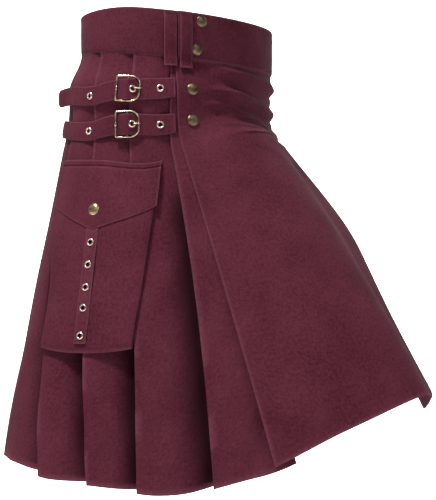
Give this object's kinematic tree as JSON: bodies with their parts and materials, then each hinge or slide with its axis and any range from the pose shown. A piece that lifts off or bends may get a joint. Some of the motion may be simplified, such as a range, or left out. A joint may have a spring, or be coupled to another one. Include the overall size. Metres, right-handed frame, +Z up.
{
  "type": "utility kilt",
  "caption": "Pleated utility kilt in a hollow worn pose, with a snap-fastened front apron, side straps with buckles, belt loops and a cargo pocket at each side.",
  "frame": {"origin": "middle of the waistband's ring, at half the band's height", "axes": "+Z up the wearer's body, -Y the way the wearer faces, -X to the wearer's right"},
  "size_m": [0.5294, 0.5725, 0.5979],
  "materials": {
    "cloth": "matte cotton twill",
    "brass": "antique, satin",
    "nickel": "polished nickel"
  },
  "bodies": {
    "root": {"apron": "cloth", "belt_loop_back": "cloth", "belt_loop_left_back": "cloth", "belt_loop_left_front": "cloth", "belt_loop_right_back": "cloth", "belt_loop_right_front": "cloth", "left_buckle_lower": "nickel", "left_buckle_tab_lower": "cloth", "left_buckle_tab_upper": "cloth", "left_buckle_upper": "nickel", "left_eyelet_lower_back": "nickel", "left_eyelet_lower_front": "nickel", "left_eyelet_lower_prong": "nickel", "left_eyelet_upper_back": "nickel", "left_eyelet_upper_front": "nickel", "left_eyelet_upper_prong": "nickel", "left_pocket": "cloth", "left_pocket_eyelet_1": "nickel", "left_pocket_eyelet_2": "nickel", "left_pocket_eyelet_3": "nickel", "left_pocket_eyelet_4": "nickel", "left_pocket_eyelet_5": "nickel", "left_pocket_flap": "cloth", "left_pocket_strip": "cloth", "left_snap_apron_low": "brass", "left_snap_apron_top": "brass", "left_snap_band_low": "brass", "left_snap_band_top": "brass", "left_snap_pocket": "brass", "left_strap_lower": "cloth", "left_strap_upper": "cloth", "pleated_skirt": "cloth", "right_buckle_lower": "nickel", "right_buckle_tab_lower": "cloth", "right_buckle_tab_upper": "cloth", "right_buckle_upper": "nickel", "right_eyelet_lower_back": "nickel", "right_eyelet_lower_front": "nickel", "right_eyelet_lower_prong": "nickel", "right_eyelet_upper_back": "nickel", "right_eyelet_upper_front": "nickel", "right_eyelet_upper_prong": "nickel", "right_pocket": "cloth", "right_pocket_eyelet_1": "nickel", "right_pocket_eyelet_2": "nickel", "right_pocket_eyelet_3": "nickel", "right_pocket_eyelet_4": "nickel", "right_pocket_eyelet_5": "nickel", "right_pocket_flap": "cloth", "right_pocket_strip": "cloth", "right_snap_apron_low": "brass", "right_snap_apron_top": "brass", "right_snap_band_low": "brass", "right_snap_band_top": "brass", "right_snap_pocket": "brass", "right_strap_lower": "cloth", "right_strap_upper": "cloth", "under_apron": "cloth", "waistband_body": "cloth", "waistband_front": "cloth"}
  },
  "joints": []
}
